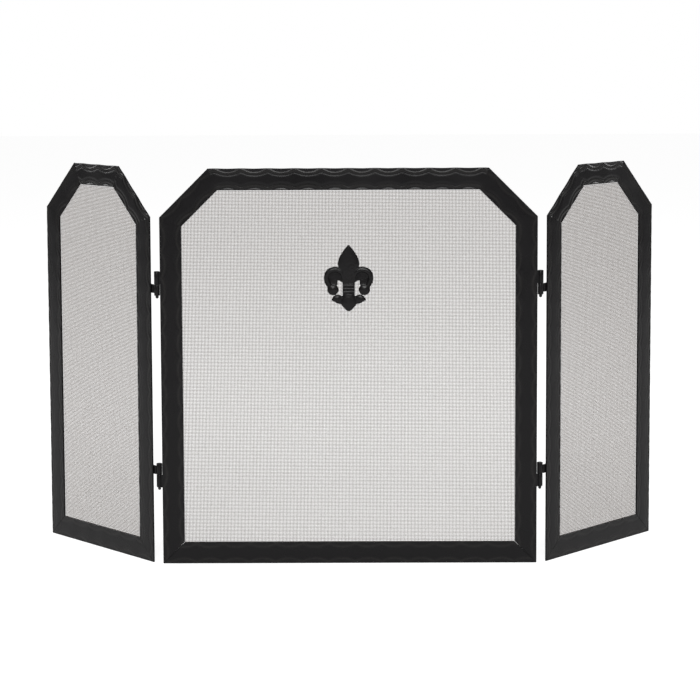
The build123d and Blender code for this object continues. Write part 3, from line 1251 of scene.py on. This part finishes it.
    def build_nuts(self) -> None:
        """Make the two chamfered hexagon nuts."""
        low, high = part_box("ornament_nuts")
        radius, bore, chamfer = (size * MM for size in (self.nut_radius, self.stud_radius, self.nut_chamfer))
        profile = np.array([(radius, low.y), (radius, high.y - chamfer), (radius - chamfer, high.y),
                            (bore, high.y), (bore, low.y)])
        profile[:, 1] -= low.y
        heights = [(self.middle_height + step * self.stud_spacing / 2) * MM for step in (-1, 1)]
        shells = [turned(profile, np.array([0.0, low.y, z]), FIREWARD, 6, bored=True) for z in heights]
        place_piece(mesh_object("hexagon_ornament_nuts", shells, sharp_angle=20.0), RIVET_PAINT,
                    Fold.CENTRE.body, "ornament_nuts")

    def build(self) -> None:
        """Make the casting, its back plate and its nuts."""
        self.build_casting()
        self.build_plate()
        self.build_nuts()


# ---------------------------------------------------------------------- studio


@dataclass(frozen=True)
class SoftBox:
    """A square studio lamp behind cloth, aimed at a point."""

    name: str
    location: tuple[float, float, float]
    target: tuple[float, float, float]
    width: float
    height: float
    power: float

    def build(self) -> None:
        """Hang the lamp."""
        light = bpy.data.lights.new(self.name, "AREA")
        light.shape, light.size, light.size_y, light.energy = "RECTANGLE", self.width, self.height, self.power
        lamp = bpy.data.objects.new(self.name, light)
        lamp.location = self.location
        aim = Vector(self.target) - lamp.location
        lamp.rotation_euler = aim.to_track_quat("-Z", "Y").to_euler()
        bpy.context.scene.collection.objects.link(lamp)


@dataclass(frozen=True)
class Studio:
    """A white room: pale floor, bright walls, soft lamps and the camera.

    The floor's reach is to each side, towards the camera and away from it. It
    ends close enough in front that the upper bars mirror the dimmer wall.
    """

    horizon: float = 0.25
    zenith: float = 0.8
    zenith_from: float = 0.8
    lamps: tuple[SoftBox, ...] = (
        SoftBox("front_soft_box", (0, -3.0, 2.5), (0, 0, 0.6), 2.2, 1.7, 175.0),
        SoftBox("left_soft_box", (-3.3, 0.88, 1.6), (-0.4, 0.1, 0.6), 0.9, 0.9, 55.0),
        SoftBox("right_soft_box", (3.3, 0.88, 1.6), (0.4, 0.1, 0.6), 0.9, 0.9, 58.0),
    )
    floor_reach: tuple[float, float, float] = (4.0, 4.0, 12.0)
    camera_place: tuple[float, float, float] = (0.01941, -3.1156, 0.84514)
    yaw: float = -0.31
    pitch: float = 5.32
    roll: float = -0.24
    lens: float = 104.43
    shift: float = -0.2

    def build_camera(self) -> None:
        """Set up the camera: forward from yaw and pitch, then turned by roll about it."""
        yaw, pitch, roll = (math.radians(angle) for angle in (self.yaw, self.pitch, self.roll))
        forward = Vector((math.sin(yaw) * math.cos(pitch), math.cos(yaw) * math.cos(pitch), -math.sin(pitch)))
        level = Vector((math.cos(yaw), -math.sin(yaw), 0))
        upward = level.cross(forward)
        right = level * math.cos(roll) + upward * math.sin(roll)
        top = right.cross(forward)
        camera = bpy.data.objects.new("camera", bpy.data.cameras.new("camera"))
        camera.data.lens, camera.data.shift_y, camera.data.clip_end = self.lens, self.shift, 100
        camera.matrix_world = (Matrix.Translation(self.camera_place)
                               @ Matrix((right, top, -forward)).transposed().to_4x4())
        bpy.context.scene.collection.objects.link(camera)
        bpy.context.scene.camera = camera

    def build_world(self) -> None:
        """Surround the object with white, seen dimmer at the horizon in reflections."""
        world = bpy.data.worlds.new("white_room")
        world.use_nodes = True
        tree = world.node_tree
        tree.nodes.clear()
        direction = add_node(tree, "ShaderNodeTexCoord").outputs["Generated"]
        height = add_node(tree, "ShaderNodeSeparateXYZ", links={0: direction}).outputs["Z"]
        glow = add_node(tree, "ShaderNodeMapRange",
                        {"From Min": 0.0, "From Max": self.zenith_from,
                         "To Min": self.horizon, "To Max": self.zenith},
                        {"Value": height})
        seen = add_node(tree, "ShaderNodeLightPath").outputs["Is Camera Ray"]
        strength = add_node(tree, "ShaderNodeMix", {3: 1.0}, {0: seen, 2: glow.outputs[0]})
        light = add_node(tree, "ShaderNodeBackground", {"Color": (1, 1, 1, 1)},
                         {"Strength": strength.outputs[0]})
        add_node(tree, "ShaderNodeOutputWorld", links={"Surface": light.outputs[0]})
        bpy.context.scene.world = world

    def build_floor(self) -> None:
        """Lay the pale floor, a hair under the feet of the frames."""
        mesh = bpy.data.meshes.new("studio_floor")
        side, near, far = self.floor_reach
        mesh.from_pydata([(-side, -near, 0), (side, -near, 0), (side, far, 0), (-side, far, 0)],
                         [], [(0, 1, 2, 3)])
        mesh.materials.append(LitAcrylic().material())
        floor = bpy.data.objects.new("studio_floor", mesh)
        bpy.context.scene.collection.objects.link(floor)

    def build(self) -> None:
        """Set up the whole studio."""
        self.build_floor()
        self.build_world()
        for lamp in self.lamps:
            lamp.build()
        self.build_camera()
        settings = bpy.context.scene.view_settings
        settings.view_transform, settings.look = "Standard", "None"


def main() -> None:
    """Build the screen's pieces and the studio round them."""
    logging.basicConfig(level=logging.INFO, format="%(name)s: %(message)s")
    outline = FrameOutline.measure()
    panels = {fold: Panel(fold, outline) for fold in Fold}
    for panel in panels.values():
        panel.build()
    for fold in (Fold.LEFT, Fold.RIGHT):
        for level in Level:
            Hinge(panels[fold], level).build()
    Ornament().build()
    Studio().build()


if __name__ == "__main__":
    main()
